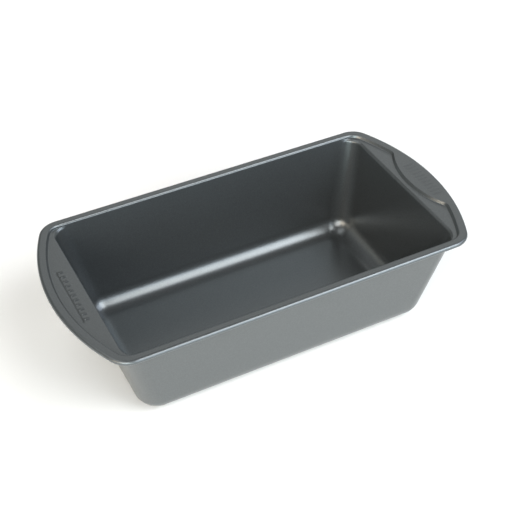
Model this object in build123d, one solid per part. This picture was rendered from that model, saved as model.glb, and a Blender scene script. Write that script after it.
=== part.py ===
from build123d import *
import os
from math import atan2, cos, radians, tan

# A household loaf pan: one drawn steel pressing with a recessed ledge and a wide grip at each end, an edge
# curled round a wire, and a thin non-stick film on each side of the steel.
# Frame: origin at the centre of the base, on the surface the pan stands on. +X runs along the pan to the end
# whose grip has the raised thumb rest, +Z is up. All sizes are in millimetres.

# ---- driving dimensions ----
overall_length = 270.0       # tip to tip of the two end grips
overall_width = 138.8        # across the long sides, over the curled edge
overall_height = 70.0        # from the base to the top of the flange

steel_thickness = 0.6
film_thickness = 0.1         # each of the two films

mouth_half_length = 112.5    # the end walls' planes where they cross the flange's plane
mouth_half_width = 63.5      # the same for the side walls
end_draft = 11.0             # degrees from vertical, the two end walls
side_draft = 9.5             # the same for the side walls
mouth_corner_radius = 10.5   # plan radius between the walls, inside, at the flange's plane
base_corner_radius = 14.5    # the same at the base: the corners taper
floor_round = 13.5           # between the walls and the floor, inside

side_end_x = 116.0           # where a long side would meet the grip's arc if the corner were square
rim_corner_radius = 14.5     # plan radius of the rim's four corners, over the curl

curl_radius = 1.7            # outside radius of the curled edge
curl_wrap = 290.0            # degrees that the curl turns, from the flange's top
wire_gap = 1.0               # between the wire's two butted ends, mid-way along the back side

flange_round = 1.3           # flange to wall, on the top
tightest_round = 1.0         # the same bend is drawn square on the underside, where it is tighter than this
ledge_drop = 2.0             # the ledge below the flange
grip_flange_width = 5.5      # rim outline to the top edge of the step, on the end arcs
step_run = 1.2               # level distance that the step takes to fall to the ledge
recess_corner_radius = 9.0   # plan radius at the recess's four corners, top edge of the step
mouth_flare_run = 1.2        # the ledge's edge leans out this far over the end wall
mouth_flare_height = 1.6     # and starts this far below the ledge

thumb_rest_x = 116.6         # innermost point of the raised thumb rest, top edge of the step
thumb_rest_radius = 62.3     # of its bowed edge
thumb_rest_corner = 5.5      # where the bowed edge runs into the step along the rim

# ---- derived dimensions ----
sheet_thickness = steel_thickness + 2 * film_thickness
steel_top = film_thickness                     # depth below the pan's inside surface where the steel starts
steel_bottom = film_thickness + steel_thickness

half_length = overall_length / 2
half_width = overall_width / 2
arc_rise = half_length - side_end_x
grip_arc_radius = (arc_rise**2 + half_width**2) / (2 * arc_rise)
grip_arc_centre = half_length - grip_arc_radius   # x of the +X arc's centre; the other is its mirror image

end_lean = tan(radians(end_draft))
side_lean = tan(radians(side_draft))
end_growth = 1 / cos(radians(end_draft))          # level distance per unit of thickness, through an end wall
side_growth = 1 / cos(radians(side_draft))
corner_growth = (end_growth + side_growth) / 2
step_angle = atan2(ledge_drop, step_run)
step_growth = tan(step_angle / 2)                 # level shift of the step's edges per unit of thickness

corner_search_y = 40.0       # every rim or recess corner lies outside this, every thumb rest corner inside it
core_depth = 20.0            # spare depth of the cutting blocks


def between_grip_arcs(radius, strip_half_width):
    """The area inside both grip arcs and a strip along X."""
    right = Pos(grip_arc_centre, 0) * Rot(0, 0, 180) * Circle(radius)
    left = Pos(-grip_arc_centre, 0) * Circle(radius)
    return Rectangle(2 * overall_length, 2 * strip_half_width) & right & left


def outer_corners(sketch):
    return [v for v in sketch.vertices() if abs(v.Y) > corner_search_y]


def rim_outline(inset):
    """Plan outline of the rim, moved in by inset from the outside of the curl."""
    outline = between_grip_arcs(grip_arc_radius - inset, half_width - inset)
    return fillet(outer_corners(outline), rim_corner_radius - inset)


def side_wall(z, depth):
    """Distance from the pan's middle to a side wall at height z, for the surface that lies depth below."""
    return mouth_half_width - (overall_height - z) * side_lean + depth * side_growth


def end_wall(z, depth):
    """The same for an end wall."""
    return mouth_half_length - (overall_height - z) * end_lean + depth * end_growth


def wall_section(z, depth, flare):
    """Plan section of the cavity at height z, for the surface that lies depth inside the sheet."""
    taper = (base_corner_radius - mouth_corner_radius) * (1 - z / overall_height)
    section = RectangleRounded(
        2 * (end_wall(z, depth) + flare),
        2 * side_wall(z, depth),
        mouth_corner_radius + taper + depth * corner_growth,
    )
    return Pos(0, 0, z) * section


def cavity(depth):
    """The loaf's space, grown by depth on all sides: drafted walls, rounded floor, flared mouth."""
    floor_z = sheet_thickness - depth
    ledge_z = overall_height - ledge_drop - depth
    mouth_z = overall_height + core_depth
    sections = [
        wall_section(floor_z, depth, 0),
        wall_section(ledge_z - mouth_flare_height, depth, 0),
        wall_section(ledge_z, depth, mouth_flare_run),
    ]
    lower = loft(sections, ruled=True)
    upper = loft([wall_section(ledge_z, depth, 0), wall_section(mouth_z, depth, 0)], ruled=True)
    floor_edges = lower.edges().group_by(Axis.Z)[0]
    return fillet(floor_edges, floor_round + depth) + upper


def recess_outline(z, inset, corner, cusp, depth):
    """Plan outline of the ledge recess at height z, with the thumb rest left standing at the +X end."""
    area = between_grip_arcs(grip_arc_radius - inset, side_wall(z, depth))
    bow = thumb_rest_radius + inset - grip_flange_width
    area -= Pos(thumb_rest_x + thumb_rest_radius, 0) * Circle(bow)
    area = fillet(outer_corners(area), corner)
    rest_corners = [v for v in area.vertices() if v.X > mouth_half_length and abs(v.Y) < corner_search_y]
    return Pos(0, 0, z) * fillet(rest_corners, cusp)


def recess(depth):
    """The shallow recess that drops the ledges below the flange, grown by depth."""
    shift = depth * step_growth
    top = recess_outline(
        overall_height - depth,
        grip_flange_width - shift,
        recess_corner_radius + shift,
        thumb_rest_corner + shift,
        depth,
    )
    bottom = recess_outline(
        overall_height - ledge_drop - depth,
        grip_flange_width + step_run - shift,
        recess_corner_radius - step_run + shift,
        thumb_rest_corner - step_run + shift,
        depth,
    )
    return loft([bottom, top], ruled=True)


def flange_edges(solid, z):
    """The edges round the recess's opening in the flange at height z, without the outer outline's."""
    level = [e for e in solid.edges().group_by(Axis.Z)[-1] if abs(e.center().Z - z) < film_thickness / 2]
    outline = solid.faces().sort_by(Axis.Z)[-1].outer_wire().edges()
    return [e for e in level if all((e.center() - o.center()).length > 1 for o in outline)]


def under_surface(depth):
    """Everything inside the rim's outline that lies more than depth below the pan's inside surface."""
    top_z = overall_height - depth
    block = Pos(0, 0, -core_depth) * extrude(rim_outline(curl_radius), top_z + core_depth)
    block -= cavity(depth)
    block -= recess(depth)
    bend = flange_round - depth
    return fillet(flange_edges(block, top_z), bend) if bend > tightest_round else block


def curl_section(top_depth, bottom_depth):
    """Cross-section of one layer in the curled edge, at the middle of the front side."""
    outer = curl_radius - top_depth
    inner = curl_radius - bottom_depth
    outer_arc = CenterArc((0, 0), outer, 90, -curl_wrap)
    inner_arc = CenterArc((0, 0), inner, 90, -curl_wrap)
    ends = [Line(outer_arc @ t, inner_arc @ t) for t in (0, 1)]
    return make_face([outer_arc, inner_arc, *ends])


def curl_path():
    """Centre line of the curled edge, all round the rim."""
    outline = Pos(0, 0, overall_height - curl_radius) * rim_outline(curl_radius)
    return outline.face().outer_wire()


def swept_round_rim(section):
    """A section, drawn with +X outwards and +Y up, carried round the rim's centre line."""
    path = curl_path()
    start = path @ 0
    along = path % 0
    outward = Vector(along.Y, -along.X, 0)
    if outward.dot(Vector(start.X, start.Y, 0)) < 0:
        outward = -outward
    plane = Plane(origin=start, x_dir=outward, z_dir=outward.cross(Vector(0, 0, 1)))
    return sweep(plane * section, path=path)


def layer(top_depth, bottom_depth):
    """One layer of the sheet, between two depths below the inside surface, with its share of the curl."""
    sheet = under_surface(top_depth) - under_surface(bottom_depth)
    return sheet + swept_round_rim(curl_section(top_depth, bottom_depth))


def inner_coating():
    return layer(0, steel_top)


def steel_pressing():
    return layer(steel_top, steel_bottom)


def outer_coating():
    return layer(steel_bottom, sheet_thickness)


def rim_wire():
    """The wire that the edge is curled round, bent to the rim's outline with its ends butted at the back."""
    ring = swept_round_rim(Circle(curl_radius - sheet_thickness))
    gap = Box(wire_gap, 4 * curl_radius, 4 * curl_radius)
    return ring - Pos(0, half_width - curl_radius, overall_height - curl_radius) * gap


PARTS = {
    "steel_pressing": steel_pressing,
    "inner_coating": inner_coating,
    "outer_coating": outer_coating,
    "rim_wire": rim_wire,
}

os.makedirs("parts", exist_ok=True)
for name, make in PARTS.items():
    export_step(make(), f"parts/{name}.step")
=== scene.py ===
from math import cos, pi, radians, sin, tan

import bpy
import numpy as np
from mathutils import Matrix, Vector


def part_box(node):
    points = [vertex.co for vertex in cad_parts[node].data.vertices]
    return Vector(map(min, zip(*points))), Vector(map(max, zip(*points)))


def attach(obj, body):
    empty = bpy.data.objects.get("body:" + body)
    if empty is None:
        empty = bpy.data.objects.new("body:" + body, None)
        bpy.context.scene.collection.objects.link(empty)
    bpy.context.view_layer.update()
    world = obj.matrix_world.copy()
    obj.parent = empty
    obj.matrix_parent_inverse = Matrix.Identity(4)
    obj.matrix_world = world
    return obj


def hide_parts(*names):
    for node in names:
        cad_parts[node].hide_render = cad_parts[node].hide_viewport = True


# The visual model of a non-stick loaf pan. One smooth surface, the pan's inside, is worked out as a grid:
# rings run round the pan, from the floor out to the end of the curled edge, and columns run across them.
# The films and the steel are sheets between offsets of that surface, so they meet face to face.

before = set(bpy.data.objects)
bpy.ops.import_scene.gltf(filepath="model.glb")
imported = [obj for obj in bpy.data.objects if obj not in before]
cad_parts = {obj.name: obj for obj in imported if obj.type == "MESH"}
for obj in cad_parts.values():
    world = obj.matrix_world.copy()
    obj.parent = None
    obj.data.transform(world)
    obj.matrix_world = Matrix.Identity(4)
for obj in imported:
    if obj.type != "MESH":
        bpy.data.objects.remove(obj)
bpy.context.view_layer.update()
MM = 0.001

# ---- sizes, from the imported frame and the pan's own dimensions ----
_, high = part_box("inner_coating")
half_length = high.x
half_width = high.y
height = high.z
film = 0.1 * MM
steel = 0.6 * MM
sheet = 2 * film + steel

mouth_half_length = 112.5 * MM
mouth_half_width = 63.5 * MM
end_lean = tan(radians(11))
side_lean = tan(radians(9.5))
mouth_corner = 10.5 * MM
base_corner = 14.5 * MM
floor_round = 13.5 * MM
floor_margin = 2 * MM        # the innermost ring lies this far inside the floor's round

side_end_x = 116 * MM
rim_corner = 14.5 * MM
curl = 1.7 * MM
curl_wrap = radians(290)

wall_top = 7 * MM            # the stretch of wall below the ledge that gets close rings
ledge_drop = 2 * MM
grip_flange = 5.5 * MM
step_run = 1.2 * MM
full_ledge = 3 * MM          # from this width on, the ledge counts as a full one
recess_corner = 9 * MM
thumb_rest_x = 116.6 * MM
thumb_rest_radius = 62.3 * MM
thumb_rest_corner = 5.5 * MM

arc_rise = half_length - side_end_x
grip_radius = (arc_rise**2 + half_width**2) / (2 * arc_rise)
grip_centre = grip_radius - half_length   # x of the -X grip's arc centre; the +X one is its mirror image

# ---- plain pressed marks: a line and a row of ribs on the -X ledge, a row of grooves on the thumb rest ----
bars_in_row = 11
bar_power = 1.5              # shapes the bars' round tops
ledge_marks_y = -0.5 * MM    # the middle of the line and of the ribs' row
line_x = -122.9 * MM
line_half_length = 24 * MM
line_radius = 0.7 * MM
line_sink = 0.4 * MM
rib_x = -119.9 * MM
rib_pitch = 4.5 * MM
rib_half_length = 1 * MM
rib_radius = 1 * MM
rib_rise = 0.5 * MM
groove_x = 125.5 * MM
grooves_y = -3 * MM
groove_pitch = 3.5 * MM
groove_half_length = 3.2 * MM
groove_radius = 0.9 * MM
groove_sink = 0.25 * MM

# ---- how softly the bends are rounded: how far each one's averaging reaches along the surface ----
edge_reach = 0.8 * MM        # the -X ledge's edge over the wall
edge_corner_reach = 1.6 * MM   # added to it in the corners
rest_edge_reach = 2.2 * MM   # the +X ledge's edge
foot_reach = 0.25 * MM       # the foot of the step
brow_reach = 2.1 * MM        # the top of the walls along the sides, where there is no ledge
brow_ledge_loss = 1.8 * MM   # taken from it at the top of the step
brow_corner_reach = 0.7 * MM   # and added back in the corners
smoothing_samples = 21

# ---- how finely the surface is cut; a stretch's count takes in both its ends ----
rest_half = 38 * MM          # half the width of the thumb rest with its corners
marks_half = 25 * MM         # half the width that the pressed marks take up, which has the finest columns
column_step = 1.2 * MM
fine_step = 0.5 * MM
tail_columns = 8             # from the thumb rest's width to the corner
side_columns = 21
corner_columns = 15
floor_round_rings = 13
wall_rings = 6
leg_rings = (7, 50, 8, 30)   # wall top, ledge, step and flange, each without its far end
leg_spare = 0.06 * MM        # added to a leg's length for each ring, so that even an empty leg spreads them
curl_rings_count = 20

sharp_angle = radians(50)    # edges that turn by more than this are shaded sharp
tiny = 1e-9                  # a length or a share of a direction below this counts as nothing
tiny_area = 1e-12


# ---- the pan's surface ----
def spaced(knots, steps):
    """Values running through the knots, each stretch cut into steps of about the given size."""
    out = [knots[0]]
    for a, b, step in zip(knots, knots[1:], steps):
        n = max(1, round((b - a) / step))
        out += [a + (b - a) * i / n for i in range(1, n + 1)]
    return np.array(out)


def corner_at(z):
    """Plan radius between the walls at height z: the corners taper."""
    return base_corner + (mouth_corner - base_corner) * z / height


def columns():
    """Place on the inner rectangle (-1 to 1 each way) and direction in plan of each column, in turn."""
    top_y = mouth_half_width - ledge_drop * side_lean - corner_at(height - ledge_drop)
    knots = (-rest_half, -marks_half, marks_half, rest_half)
    middle = spaced(knots, (column_step, fine_step, column_step))
    before = np.linspace(-top_y, middle[0], tail_columns)[:-1]
    after = np.linspace(middle[-1], top_y, tail_columns)[1:]
    end = np.concatenate([before, middle, after]) / top_y
    side = np.linspace(1, -1, side_columns)
    turn = np.linspace(0, pi / 2, corner_columns)[1:-1]
    rows = []
    for sign in (1, -1):
        rows += [(sign, sign * t, sign, 0) for t in end]
        rows += [(sign, sign, sign * cos(a), sign * sin(a)) for a in turn]
        rows += [(sign * t, sign, 0, sign) for t in side]
        rows += [(-sign, sign, -sign * sin(a), sign * cos(a)) for a in turn]
    rows = np.array(rows)
    return rows[:, :2], rows[:, 2:]


PLACE, WAY = columns()


def walls(z):
    """The walls' plan section at height z, without the round at the floor."""
    radius = corner_at(z)
    below = height - z
    half = np.array([mouth_half_length - below * end_lean, mouth_half_width - below * side_lean]) - radius
    flat = PLACE * half + WAY * radius
    return np.column_stack([flat, np.full(len(flat), z)])


def reach(inset, side, corner, z, rest=None):
    """Where each column's line out of the mouth's inner rectangle meets a rim-like outline: two long sides,
    two grip arcs and four rounded corners. Gives the points and the outline's outward directions. With rest,
    the outline also goes round the thumb rest, grown by that much."""
    ledge_z = height - ledge_drop
    ledge = walls(ledge_z)[:, :2] - WAY * corner_at(ledge_z)
    start, way = np.abs(ledge), np.abs(WAY)
    radius = grip_radius - inset
    centre = np.array([-grip_centre, 0.0])
    with np.errstate(divide="ignore", invalid="ignore"):
        to_side = np.where(way[:, 1] > tiny, (side - start[:, 1]) / way[:, 1], np.inf)
    to_arc = far_hit(start, way, centre, radius)
    knee_x = ((radius - corner) ** 2 - (side - corner) ** 2) ** 0.5 - grip_centre
    knee = np.array([knee_x, side - corner])
    to_knee = far_hit(start, way, knee, corner)
    on_side = to_side < to_arc
    dist = np.where(on_side, to_side, to_arc)
    out = np.where(on_side[:, None], [0.0, 1.0], (start + way * to_arc[:, None] - centre) / radius)
    spot = start + way * np.nan_to_num(to_knee)[:, None] - knee
    axis = knee - centre
    past_arc = axis[0] * spot[:, 1] - axis[1] * spot[:, 0] >= 0
    on_knee = ~np.isnan(to_knee) & (spot[:, 0] >= 0) & past_arc
    dist = np.where(on_knee, to_knee, dist)
    out = np.where(on_knee[:, None], spot / corner, out)
    flat = start + way * dist[:, None]
    if rest is not None:
        bow_x = thumb_rest(start[:, 1], radius, rest)
        at_rest = (ledge[:, 0] > 0) & (way[:, 1] < tiny)
        flat[:, 0] = np.where(at_rest, np.minimum(flat[:, 0], bow_x), flat[:, 0])
    sign = np.where(ledge < 0, -1.0, 1.0)
    return np.column_stack([flat * sign, np.full(len(flat), z)]), out * sign


def far_hit(start, way, centre, radius):
    """Distance along each line to the far side of a circle."""
    b = ((start - centre) * way).sum(1)
    c = ((start - centre) ** 2).sum(1) - radius**2
    with np.errstate(invalid="ignore"):
        return -b + np.sqrt(b * b - c)


def thumb_rest(y, arc_radius, grow):
    """x of the recess's edge across the +X end, where the thumb rest's bow cuts into it, at each y."""
    bow_centre = thumb_rest_x + thumb_rest_radius
    bow = thumb_rest_radius + grow
    cusp = thumb_rest_corner - grow
    gap = bow_centre + grip_centre
    along = ((arc_radius - cusp) ** 2 - (bow + cusp) ** 2 + gap**2) / (2 * gap)
    knee_x = along - grip_centre
    knee_y = ((arc_radius - cusp) ** 2 - along**2) ** 0.5
    arc = -grip_centre + np.sqrt(arc_radius**2 - y**2)
    dip = bow_centre - np.sqrt(np.maximum(bow**2 - y**2, 0))
    knee = knee_x + np.sqrt(np.maximum(cusp**2 - (y - knee_y) ** 2, 0))
    low_y = knee_y * bow / (bow + cusp)
    high_y = knee_y * arc_radius / (arc_radius - cusp)
    return np.where(y < low_y, dip, np.where(y < high_y, knee, arc))


def floor_rings():
    """From the flat floor up the round to the wall."""
    corner = walls(sheet)
    wall = walls(height - ledge_drop) - corner
    wall /= np.linalg.norm(wall, axis=1)[:, None]
    inward = np.column_stack([-WAY, np.zeros(len(WAY))])
    turn = pi - np.arccos((inward * wall).sum(1))[:, None]
    leg = floor_round * np.tan(turn / 2)
    across = wall - inward * (wall * inward).sum(1)[:, None]
    across /= np.linalg.norm(across, axis=1)[:, None]
    start = corner + inward * leg
    rings = [start + inward * floor_margin]
    for t in np.linspace(0, 1, floor_round_rings):
        a = turn * t
        rings.append(start - inward * floor_round * np.sin(a) + across * floor_round * (1 - np.cos(a)))
    return rings


def upper_rings(first):
    """From the last floor ring up the wall and over the ledge, the step and the flange to the curl. Each
    column is a chain of straight legs, softened by averaging it over a short length on either side."""
    ledge_z = height - ledge_drop
    edge = walls(ledge_z)
    side = mouth_half_width
    foot_side = side - ledge_drop * side_lean
    foot, _ = reach(grip_flange + step_run, foot_side, recess_corner - step_run, ledge_z, step_run)
    brow, _ = reach(grip_flange, side, recess_corner, height, 0)
    rim, _ = reach(curl, half_width - curl, rim_corner - curl, height)
    wall = edge - first
    wall_length = np.linalg.norm(wall, axis=1)
    start = edge - wall * (wall_top / wall_length)[:, None]
    rings = [first + (start - first) * t for t in np.linspace(0, 1, wall_rings)[1:-1]]
    knots = [start, edge, foot, brow, rim]
    legs = [b - a for a, b in zip(knots, knots[1:])]
    sizes = np.array([np.linalg.norm(leg, axis=1) for leg in legs])
    ways = [leg / np.maximum(size, tiny)[:, None] for leg, size in zip(legs, sizes)]
    marks = np.vstack([np.zeros(len(edge)), np.cumsum(sizes, axis=0)])
    width = np.clip(sizes[1] / full_ledge, 0, 1)
    turning = 2 * np.abs(WAY[:, 0] * WAY[:, 1])
    soft_edge = np.where(edge[:, 0] > 0, rest_edge_reach, edge_reach + edge_corner_reach * turning)
    soft_brow = brow_reach - brow_ledge_loss * width + brow_corner_reach * turning * width
    soft_foot = np.full(len(edge), foot_reach)
    none = np.zeros(len(edge))
    soft = np.vstack([none, soft_edge, soft_foot, soft_brow, none])

    def at(s):
        """Each column's point at distance s along its legs. The first and last run on past their ends."""
        point = start.copy()
        for i, way in enumerate(ways):
            span = s - marks[i]
            if i < len(ways) - 1:
                span = np.minimum(span, sizes[i])
            if i:
                span = np.maximum(span, 0)
            point = point + way * span[:, None]
        return point

    shares = np.array([size + leg_spare * n for size, n in zip(sizes, leg_rings)])
    shares *= marks[-1] / shares.sum(0)
    starts = np.vstack([np.zeros(len(edge)), np.cumsum(shares, axis=0)])
    for i, n in enumerate(leg_rings):
        for k in range(n):
            even = k / n
            crowded = (1 - cos(pi * even)) / 2
            s = starts[i] + shares[i] * (even + crowded) / 2
            half = np.array([np.interp(s[c], marks[:, c], soft[:, c]) for c in range(len(s))])
            offsets = np.linspace(-1, 1, smoothing_samples)
            rings.append(sum(at(s + half * o) for o in offsets) / smoothing_samples)
    rings.append(rim)
    return rings


def curl_rings():
    """Round the curled edge, from just past the flange's top to the sheet's end."""
    line, out = reach(curl, half_width - curl, rim_corner - curl, height - curl)
    rings = []
    for a in np.linspace(0, curl_wrap, curl_rings_count)[1:]:
        ring = line.copy()
        ring[:, :2] += out * curl * sin(a)
        ring[:, 2] += curl * cos(a)
        rings.append(ring)
    return rings


def bar(x, y, centre, half, radius):
    """Height, from 0 to 1, of a straight round-topped bar in plan: a segment with rounded ends."""
    dx = np.maximum(np.abs(x - centre[0]) - half[0], 0)
    dy = np.maximum(np.abs(y - centre[1]) - half[1], 0)
    return np.clip(1 - (dx**2 + dy**2) / radius**2, 0, 1) ** bar_power


def bar_row(x, y, centre, pitch, half, radius):
    """Equal bars in a row along Y, about a centre."""
    places = [centre[1] + (k - (bars_in_row - 1) / 2) * pitch for k in range(bars_in_row)]
    return sum(bar(x, y, (centre[0], place), half, radius) for place in places)


def pressed_marks(x, y):
    """Height that the pressed marks add to the surface at a place in plan."""
    line = bar(x, y, (line_x, ledge_marks_y), (0, line_half_length), line_radius)
    ribs = bar_row(x, y, (rib_x, ledge_marks_y), rib_pitch, (rib_half_length, 0), rib_radius)
    grooves = bar_row(x, y, (groove_x, grooves_y), groove_pitch, (groove_half_length, 0), groove_radius)
    return rib_rise * ribs - line_sink * line - groove_sink * grooves


def surface():
    """The whole inside surface: rings by columns by x, y, z."""
    floor = floor_rings()
    grid = np.array(floor + upper_rings(floor[-1]) + curl_rings())
    grid[:, :, 2] += pressed_marks(grid[:, :, 0], grid[:, :, 1])
    return grid


def normals(grid):
    """Unit normals of the grid, out of the sheet on the pan's inside."""
    round_pan = np.roll(grid, -1, axis=1) - np.roll(grid, 1, axis=1)
    up = np.gradient(grid, axis=0)
    n = np.cross(up, round_pan)
    n /= np.maximum(np.linalg.norm(n, axis=2), tiny_area)[:, :, None]
    return n if n[0, 0, 2] > 0 else -n


def sheet_piece(name, grid, normal, top, bottom):
    """A closed sheet between two depths below the surface."""
    rings, cols = grid.shape[:2]
    verts = np.concatenate([(grid - normal * depth).reshape(-1, 3) for depth in (top, bottom)])
    r, c = np.meshgrid(np.arange(rings - 1), np.arange(cols), indexing="ij")
    a = (r * cols + c).ravel()
    b = (r * cols + (c + 1) % cols).ravel()
    quads = np.column_stack([a, b, b + cols, a + cols])
    lower = quads[:, ::-1] + rings * cols
    last = (rings - 1) * cols + np.arange(cols)
    after = (rings - 1) * cols + (np.arange(cols) + 1) % cols
    end = np.column_stack([last, after, after + rings * cols, last + rings * cols])
    faces = np.concatenate([quads, lower, end]).tolist()
    faces.append(list(range(cols))[::-1])
    faces.append(list(range(rings * cols, rings * cols + cols)))
    mesh = bpy.data.meshes.new(name)
    mesh.from_pydata(verts.tolist(), [], faces)
    mesh.validate()
    mesh.shade_smooth()
    mesh.set_sharp_from_angle(angle=sharp_angle)
    piece = bpy.data.objects.new(name, mesh)
    bpy.context.scene.collection.objects.link(piece)
    return piece


# ---- materials ----
flakes_per_metre = 3200
flake_shades = (0.9, 1.0)
flake_depth = 0.01 * MM
flake_strength = 0.25
peel_per_metre = 1100        # the orange-peel
peel_depth = 0.1 * MM
peel_strength = 0.06
film_shades = (0.93, 1.07)   # shares of the film's colour
tones_per_metre = 28         # the slow change of tone
film_roughness = (0.278, 0.3)
drawn_per_metre = 900        # the steel's drawing lines
drawn_depth = 0.05 * MM
drawn_strength = 0.2
steel_shades = (0.85, 1.05)
steel_roughness = (0.42, 0.26)


def shader(name, **sockets):
    """A new material, with constant values on its main shader's sockets."""
    material = bpy.data.materials.new(name)
    material.use_nodes = True
    principled = material.node_tree.nodes["Principled BSDF"]
    for key, value in sockets.items():
        principled.inputs[key.replace("_", " ")].default_value = value
    return material, principled


def noise(tree, vector, scale, detail=2):
    """A noise texture's level."""
    node = tree.nodes.new("ShaderNodeTexNoise")
    node.inputs["Scale"].default_value = scale
    node.inputs["Detail"].default_value = detail
    tree.links.new(vector, node.inputs["Vector"])
    return node.outputs["Fac"]


def ramp(tree, fac, low, high, at=(0.3, 0.7)):
    """A colour ramp between two colours, or two grey levels."""
    node = tree.nodes.new("ShaderNodeValToRGB")
    for element, place, value in zip(node.color_ramp.elements, at, (low, high)):
        element.position = place
        element.color = (*value, 1) if isinstance(value, tuple) else (value, value, value, 1)
    tree.links.new(fac, node.inputs["Fac"])
    return node.outputs["Color"]


def bump(tree, height, distance, strength, below=None):
    """The normal of a bumped surface, on top of another bump where there is one below."""
    node = tree.nodes.new("ShaderNodeBump")
    node.inputs["Distance"].default_value = distance
    node.inputs["Strength"].default_value = strength
    tree.links.new(height, node.inputs["Height"])
    if below is not None:
        tree.links.new(below, node.inputs["Normal"])
    return node.outputs["Normal"]


def film_material(name, color):
    """A satin non-stick film: metal flakes under a faint orange-peel, with a slow change of tone."""
    material, principled = shader(name, Metallic=0.8)
    tree = material.node_tree
    coords = tree.nodes.new("ShaderNodeTexCoord").outputs["Object"]
    flakes = tree.nodes.new("ShaderNodeTexVoronoi")
    flakes.inputs["Scale"].default_value = flakes_per_metre
    tree.links.new(coords, flakes.inputs["Vector"])
    flake = tree.nodes.new("ShaderNodeSeparateColor")
    tree.links.new(flakes.outputs["Color"], flake.inputs["Color"])
    peel = noise(tree, coords, peel_per_metre)
    tone = noise(tree, coords, tones_per_metre, detail=3)
    dark, light = (tuple(c * k for c in color) for k in film_shades)
    grain = ramp(tree, peel, dark, light)
    mix = tree.nodes.new("ShaderNodeMix")
    mix.data_type = "RGBA"
    mix.blend_type = "MULTIPLY"
    mix.inputs["Factor"].default_value = 1
    first, second = (socket for socket in mix.inputs if socket.type == "RGBA")
    product = next(socket for socket in mix.outputs if socket.type == "RGBA")
    tree.links.new(grain, first)
    tree.links.new(ramp(tree, flake.outputs["Red"], *flake_shades, at=(0, 1)), second)
    tree.links.new(product, principled.inputs["Base Color"])
    tree.links.new(ramp(tree, tone, *film_roughness), principled.inputs["Roughness"])
    fine = bump(tree, flake.outputs["Green"], flake_depth, flake_strength)
    tree.links.new(bump(tree, peel, peel_depth, peel_strength, fine), principled.inputs["Normal"])
    return material


def steel_material(name, color, stretch):
    """Bright steel with fine drawing lines; stretch squeezes the grain along each axis."""
    material, principled = shader(name, Metallic=1.0)
    tree = material.node_tree
    coords = tree.nodes.new("ShaderNodeTexCoord").outputs["Object"]
    mapping = tree.nodes.new("ShaderNodeMapping")
    mapping.inputs["Scale"].default_value = stretch
    tree.links.new(coords, mapping.inputs["Vector"])
    lines = noise(tree, mapping.outputs["Vector"], drawn_per_metre, detail=4)
    dark, light = (tuple(c * k for c in color) for k in steel_shades)
    tree.links.new(ramp(tree, lines, dark, light), principled.inputs["Base Color"])
    tree.links.new(ramp(tree, lines, *steel_roughness), principled.inputs["Roughness"])
    tree.links.new(bump(tree, lines, drawn_depth, drawn_strength), principled.inputs["Normal"])
    return material


def dress(piece, material):
    """Give a piece one material."""
    piece.data.materials.clear()
    piece.data.materials.append(material)


# ---- the pieces ----
grid = surface()
normal = normals(grid)
inside = film_material("nonstick_inside", (0.142, 0.155, 0.159))
# The outside film's colour is the film's dark grey, set a little lighter than the inside's as painted light
# on the outer walls.
outside = film_material("nonstick_outside", (0.151, 0.161, 0.161))
bare = steel_material("bare_steel", (0.52, 0.53, 0.54), (1, 1, 12))
drawn = steel_material("drawn_wire", (0.6, 0.6, 0.58), (1, 8, 8))

inner = sheet_piece("nonstick_lining", grid, normal, 0, film)
pressing = sheet_piece("steel_sheet", grid, normal, film, film + steel)
outer = sheet_piece("nonstick_underside", grid, normal, film + steel, sheet)
for piece, node, slot, material in (
    (inner, "inner_coating", "nonstick_inside", inside),
    (pressing, "steel_pressing", "bare_steel", bare),
    (outer, "outer_coating", "nonstick_outside", outside),
):
    dress(piece, material)
    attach(piece, "root")
    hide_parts(node)
dress(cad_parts["rim_wire"], drawn)

# ---- floor, light and camera ----
floor_half = 3.0
light_distance = 3.0

floor_mesh = bpy.data.meshes.new("floor")
corners = [(x * floor_half, y * floor_half, 0) for x, y in ((-1, -1), (1, -1), (1, 1), (-1, 1))]
floor_mesh.from_pydata(corners, [], [(0, 1, 2, 3)])
floor = bpy.data.objects.new("floor", floor_mesh)
bpy.context.scene.collection.objects.link(floor)
floor_material, _ = shader("pale_floor", Base_Color=(0.93, 0.935, 0.92, 1), Roughness=0.6)
dress(floor, floor_material)


def softbox(name, azimuth, elevation, size, power, color):
    """An area light that faces the pan, in a direction given in degrees: azimuth from +X, and elevation."""
    turn, tilt = radians(azimuth), radians(elevation)
    away = Vector((cos(turn) * cos(tilt), sin(turn) * cos(tilt), sin(tilt)))
    data = bpy.data.lights.new(name, "AREA")
    data.shape = "RECTANGLE"
    data.size, data.size_y = size
    data.energy = power
    data.color = color
    lamp = bpy.data.objects.new(name, data)
    lamp.location = away * light_distance
    lamp.rotation_euler = away.to_track_quat("Z", "Y").to_euler()
    bpy.context.scene.collection.objects.link(lamp)


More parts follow.
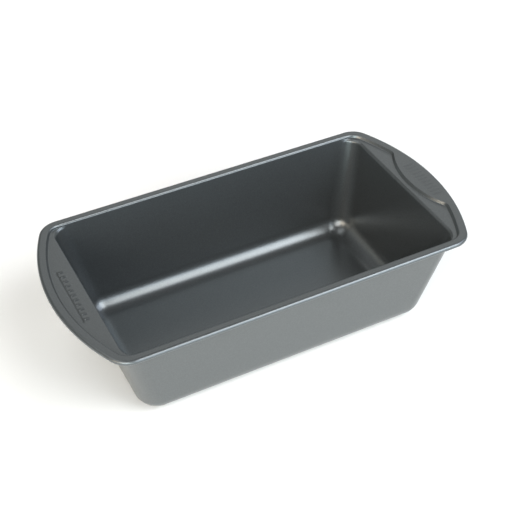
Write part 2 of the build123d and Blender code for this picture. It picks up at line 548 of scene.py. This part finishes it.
def studio_world():
    """A dim room: pale low down, darker overhead."""
    world = bpy.data.worlds.new("studio")
    world.use_nodes = True
    tree = world.node_tree
    coords = tree.nodes.new("ShaderNodeTexCoord")
    axes = tree.nodes.new("ShaderNodeSeparateXYZ")
    room = tree.nodes.new("ShaderNodeValToRGB")
    low, overhead = room.color_ramp.elements
    low.position = 0.45
    low.color = (0.29, 0.3, 0.29, 1)
    overhead.position = 0.9
    overhead.color = (0.12, 0.12, 0.12, 1)
    tree.links.new(coords.outputs["Generated"], axes.inputs["Vector"])
    tree.links.new(axes.outputs["Z"], room.inputs["Fac"])
    tree.links.new(room.outputs["Color"], tree.nodes["Background"].inputs["Color"])
    bpy.context.scene.world = world


studio_world()
softbox("front_light", -59, 49, (1.6, 1.7), 44, (1, 1, 1))
softbox("right_light", -30, 40, (2.0, 1.6), 26, (0.9, 0.97, 1.13))
softbox("front_low_light", -70, 20, (2.4, 1.8), 38, (0.88, 1, 1.12))
softbox("left_low_light", -122, 15, (1.9, 1.5), 34, (0.9, 1.05, 1.05))
softbox("left_light", -130, 35, (1.6, 1.6), 36, (1.05, 0.99, 0.96))
softbox("far_left_light", -160, 26, (1.7, 1.1), 22, (1.2, 1, 0.8))
softbox("top_light", 150, 65, (1.8, 1.8), 15, (1, 1, 1))
softbox("back_light", 54, 40, (2.8, 2.2), 11, (1.02, 1, 0.98))


def camera():
    """The camera, turned about a point above the origin: azimuth from -Y towards -X, elevation and roll,
    then moved aside and above along its own axes."""
    azimuth, elevation, roll = radians(-26.87), radians(40.73), radians(-0.47)
    distance = 707.7 * MM
    aside = -0.61 * MM
    above = 13.24 * MM
    aim_height = 35.7 * MM
    back = Vector((sin(azimuth) * cos(elevation), -cos(azimuth) * cos(elevation), sin(elevation)))
    level = Vector((cos(azimuth), sin(azimuth), 0))
    upright = back.cross(level)
    right = level * cos(roll) + upright * sin(roll)
    up = upright * cos(roll) - level * sin(roll)
    data = bpy.data.cameras.new("camera")
    data.sensor_width = 36
    data.lens = 77.56
    eye = bpy.data.objects.new("camera", data)
    at = back * distance + right * aside + up * above + Vector((0, 0, aim_height))
    turn = Matrix((right, up, back)).transposed().to_4x4()
    eye.matrix_world = Matrix.Translation(at) @ turn
    bpy.context.scene.collection.objects.link(eye)
    bpy.context.scene.camera = eye


camera()
bpy.context.scene.view_settings.view_transform = "Standard"
